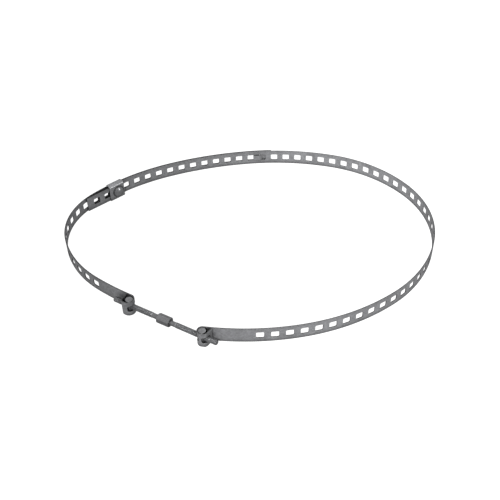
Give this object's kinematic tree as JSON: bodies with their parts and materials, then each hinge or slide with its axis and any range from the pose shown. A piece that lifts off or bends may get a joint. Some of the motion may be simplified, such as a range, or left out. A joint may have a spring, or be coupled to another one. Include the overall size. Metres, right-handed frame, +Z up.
{
  "type": "transformer strap",
  "caption": "Adjustable hoop of punched steel strap with a hooked and clipped overlap, and a tension bolt between two rolled eyes.",
  "frame": {"origin": "on the level surface that the hoop lies on, below the middle of its bounding box", "axes": "+Z up, across the strap's width; +X the hoop's longest way, from the left side to the right in the picture; +Y away from the tension bolt's side"},
  "size_m": [0.5684, 0.4337, 0.0288],
  "materials": {
    "galvanised_strap": "hot-dip galvanised, satin and finely spangled",
    "galvanised_fittings": "hot-dip galvanised, satin",
    "galvanised_bolts": "galvanised, slightly rough"
  },
  "bodies": {
    "hoop": {"long_strap": "galvanised_strap", "short_strap": "galvanised_strap", "right_barrel": "galvanised_fittings", "left_barrel": "galvanised_fittings", "buckle_clip": "galvanised_fittings", "clip_bolt": "galvanised_bolts", "clip_nut": "galvanised_bolts"},
    "bolt": {"tension_bolt": "galvanised_bolts"}
  },
  "joints": [
    {"name": "bolt_turn", "type": "hinge", "parent": "hoop", "child": "bolt", "pos_m": [-0.11837, -0.17082, 0.0144], "axis": [0.8618, -0.5073, 0], "continuous": true}
  ]
}
